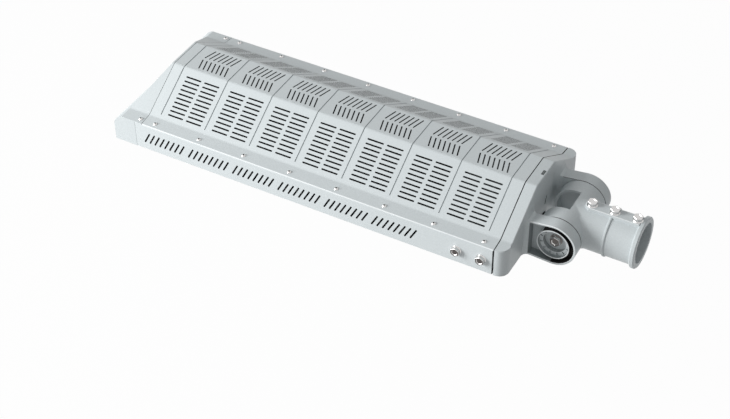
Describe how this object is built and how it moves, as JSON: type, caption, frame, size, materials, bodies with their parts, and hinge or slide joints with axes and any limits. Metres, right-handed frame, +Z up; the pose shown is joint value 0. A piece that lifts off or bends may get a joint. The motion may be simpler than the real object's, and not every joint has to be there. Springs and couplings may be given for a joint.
{
  "type": "led street light head",
  "caption": "Long hipped street light head with slotted roof and side rails, light modules below, and a tilting knuckle with a round pole socket.",
  "frame": {"origin": "centre of the pole socket's mouth", "axes": "+X out of the pole socket's mouth along its axis, the head lying along -X; +Y across the head; +Z up, away from the light"},
  "size_m": [0.8267, 0.273, 0.1061],
  "materials": {
    "painted_sheet": "light grey satin powder coat",
    "painted_cast": "light grey satin powder coat on a casting",
    "painted_rail": "light grey satin powder coat",
    "stainless": "polished stainless steel",
    "zinc_steel": "dull plated steel",
    "vial": "clear dark vial",
    "rubber": "matt silicone rubber",
    "bare_aluminium": "mill finish sheet",
    "driver_case": "grey anodised case",
    "black_plastic": "matt moulded plastic",
    "white_plastic": "matt moulded plastic",
    "black_aluminium": "black anodised extrusion",
    "board": "white solder mask",
    "clear_lens": "clear moulded polycarbonate"
  },
  "bodies": {
    "spigot": {"pole_spigot": "painted_cast", "clamp_bolts": "stainless", "left_pivot_bolt": "zinc_steel", "right_pivot_bolt": "zinc_steel", "left_pivot_washer": "zinc_steel", "right_pivot_washer": "zinc_steel"},
    "head": {"top_cover": "painted_sheet", "front_cap": "painted_cast", "rear_housing": "painted_cast", "right_rail": "painted_rail", "left_rail": "painted_rail", "rail_bolts": "stainless", "cover_screws": "stainless", "cap_screws": "stainless", "module_screws": "stainless", "level_vial": "vial", "cable_grommet": "rubber", "driver_tray": "bare_aluminium", "led_driver": "driver_case", "surge_protector": "black_plastic", "terminal_block": "white_plastic", "bottom_cover": "painted_sheet", "bottom_cover_screws": "stainless", "heatsink_1": "black_aluminium", "led_board_1": "board", "lens_gasket_1": "rubber", "lens_plate_1": "clear_lens", "heatsink_2": "black_aluminium", "led_board_2": "board", "lens_gasket_2": "rubber", "lens_plate_2": "clear_lens", "heatsink_3": "black_aluminium", "led_board_3": "board", "lens_gasket_3": "rubber", "lens_plate_3": "clear_lens", "heatsink_4": "black_aluminium", "led_board_4": "board", "lens_gasket_4": "rubber", "lens_plate_4": "clear_lens", "heatsink_5": "black_aluminium", "led_board_5": "board", "lens_gasket_5": "rubber", "lens_plate_5": "clear_lens", "heatsink_6": "black_aluminium", "led_board_6": "board", "lens_gasket_6": "rubber", "lens_plate_6": "clear_lens"}
  },
  "joints": [
    {"name": "head_tilt", "type": "hinge", "parent": "spigot", "child": "head", "pos_m": [-0.1118, 0, 0], "axis": [0, 1, 0], "range_deg": [-90, 15]}
  ]
}
